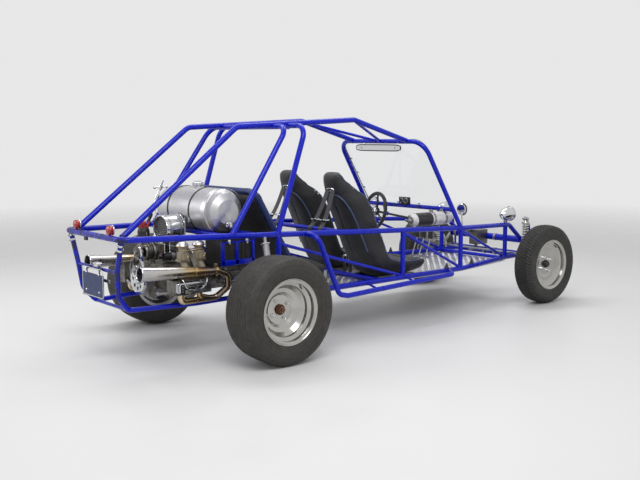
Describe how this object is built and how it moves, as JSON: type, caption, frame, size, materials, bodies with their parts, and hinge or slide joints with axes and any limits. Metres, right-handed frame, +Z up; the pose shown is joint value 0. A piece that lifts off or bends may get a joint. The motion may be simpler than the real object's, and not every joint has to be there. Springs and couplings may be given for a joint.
{
  "type": "dune buggy",
  "caption": "Open tube-framed dune buggy with long roll cage, bucket seats, rear bench, cross-mounted tank, exposed rear engine and steering front wheels.",
  "frame": {"origin": "on the ground under the middle of the overall length, on the centre line", "axes": "+X forward, +Y to the left side of the vehicle, +Z up"},
  "size_m": [4.0779, 1.867, 1.5382],
  "materials": {
    "frame_blue": "gloss metallic",
    "black_vinyl": "satin",
    "rubber_tyre": "matte",
    "polished_aluminium": "polished",
    "cast_aluminium": "rough cast",
    "chrome": "mirror polished",
    "clear_sheet": "clear",
    "tread_plate": "embossed",
    "steel": "worn",
    "heated_steel": "heat tinted",
    "red_lens": "clear red",
    "plate_blue": "gloss",
    "mirror_face": "mirror",
    "black_plastic": "satin",
    "white_paint": "gloss"
  },
  "bodies": {
    "chassis": {"battery_box": "black_plastic", "breather_tank": "chrome", "canister": "white_paint", "carburettors": "chrome", "coil_overs": "steel", "crank_pulley": "chrome", "cross_bars": "frame_blue", "cylinders": "cast_aluminium", "distributor": "black_plastic", "engine_case": "cast_aluminium", "exhausts": "heated_steel", "floor_pan": "tread_plate", "front_arms": "steel", "front_beam": "frame_blue", "fuel_tank": "polished_aluminium", "generator": "chrome", "headlamps": "chrome", "lower_rails": "frame_blue", "main_hoop": "frame_blue", "mirrors": "mirror_face", "number_plate": "plate_blue", "pedals": "steel", "rear_bench": "black_vinyl", "rear_cage": "frame_blue", "rear_dampers": "steel", "rear_hoop": "frame_blue", "roof_rails": "frame_blue", "seat_left": "black_vinyl", "seat_right": "black_vinyl", "side_bars": "frame_blue", "side_uprights": "frame_blue", "steering_box": "steel", "tail_lamps": "red_lens", "tank_straps": "black_plastic", "torsion_tube": "steel", "trailing_arms": "steel", "transaxle": "cast_aluminium", "upper_rail": "frame_blue", "valve_covers": "chrome", "windshield": "clear_sheet", "windshield_hoop": "frame_blue"},
    "wheel_rear_left": {"rim_rear_left": "polished_aluminium", "tyre_rear_left": "rubber_tyre", "drum_rear_left": "steel"},
    "wheel_front_left": {"rim_front_left": "polished_aluminium", "tyre_front_left": "rubber_tyre", "drum_front_left": "steel"},
    "steering_knuckle_left": {"knuckle_left": "steel"},
    "drive_shaft_left": {"half_shaft_left": "steel"},
    "wheel_rear_right": {"rim_rear_right": "polished_aluminium", "tyre_rear_right": "rubber_tyre", "drum_rear_right": "steel"},
    "wheel_front_right": {"rim_front_right": "polished_aluminium", "tyre_front_right": "rubber_tyre", "drum_front_right": "steel"},
    "steering_knuckle_right": {"knuckle_right": "steel"},
    "drive_shaft_right": {"half_shaft_right": "steel"},
    "steering": {"steering_wheel": "black_plastic"},
    "pitman": {"pitman_arm": "steel"},
    "track_rod": {"tie_rods": "steel"}
  },
  "joints": [
    {"name": "wheel_rear_left_spin", "type": "hinge", "parent": "chassis", "child": "wheel_rear_left", "pos_m": [-1.169, 0.7995, 0.338], "axis": [0, 1, 0], "continuous": true},
    {"name": "drive_shaft_left_spin", "type": "hinge", "parent": "chassis", "child": "drive_shaft_left", "pos_m": [-1.169, 0.372, 0.404], "axis": [0, 0.9487, -0.3162], "continuous": true},
    {"name": "wheel_rear_right_spin", "type": "hinge", "parent": "chassis", "child": "wheel_rear_right", "pos_m": [-1.169, -0.7995, 0.338], "axis": [0, 1, 0], "continuous": true},
    {"name": "drive_shaft_right_spin", "type": "hinge", "parent": "chassis", "child": "drive_shaft_right", "pos_m": [-1.169, -0.372, 0.404], "axis": [0, 0.9487, 0.3162], "continuous": true},
    {"name": "knuckle_left_turn", "type": "hinge", "parent": "chassis", "child": "steering_knuckle_left", "pos_m": [1.711, 0.54, 0.33], "axis": [0, 0, 1], "range_deg": [-28, 28]},
    {"name": "wheel_front_left_spin", "type": "hinge", "parent": "steering_knuckle_left", "child": "wheel_front_left", "pos_m": [1.711, 0.6745, 0.328], "axis": [0, 1, 0], "continuous": true},
    {"name": "knuckle_right_turn", "type": "hinge", "parent": "chassis", "child": "steering_knuckle_right", "pos_m": [1.711, -0.54, 0.33], "axis": [0, 0, 1], "range_deg": [-28, 28]},
    {"name": "wheel_front_right_spin", "type": "hinge", "parent": "steering_knuckle_right", "child": "wheel_front_right", "pos_m": [1.711, -0.6745, 0.328], "axis": [0, 1, 0], "continuous": true},
    {"name": "steering_wheel_turn", "type": "hinge", "parent": "chassis", "child": "steering", "pos_m": [1.721, 0.09, 0.535], "axis": [-0.9643, 0.1565, 0.2138], "range_deg": [-268.81, 268.81]},
    {"name": "pitman_turn", "type": "hinge", "parent": "chassis", "child": "pitman", "pos_m": [1.711, 0.07, 0.4], "axis": [0, 0, 1], "range_deg": [-28, 28]},
    {"name": "track_rod_slide", "type": "slide", "parent": "chassis", "child": "track_rod", "axis": [0, 1, 0], "range_m": [-0.03911, 0.03911]}
  ],
  "couplings": [
    {"joint": "knuckle_right_turn", "follows": "knuckle_left_turn", "ratio": 1},
    {"joint": "steering_wheel_turn", "follows": "knuckle_left_turn", "ratio": 9.6},
    {"joint": "pitman_turn", "follows": "knuckle_left_turn", "ratio": 1},
    {"joint": "track_rod_slide", "follows": "knuckle_left_turn", "m_per_rad": -0.08},
    {"joint": "drive_shaft_left_spin", "follows": "wheel_rear_left_spin", "ratio": 1},
    {"joint": "drive_shaft_right_spin", "follows": "wheel_rear_right_spin", "ratio": 1}
  ]
}
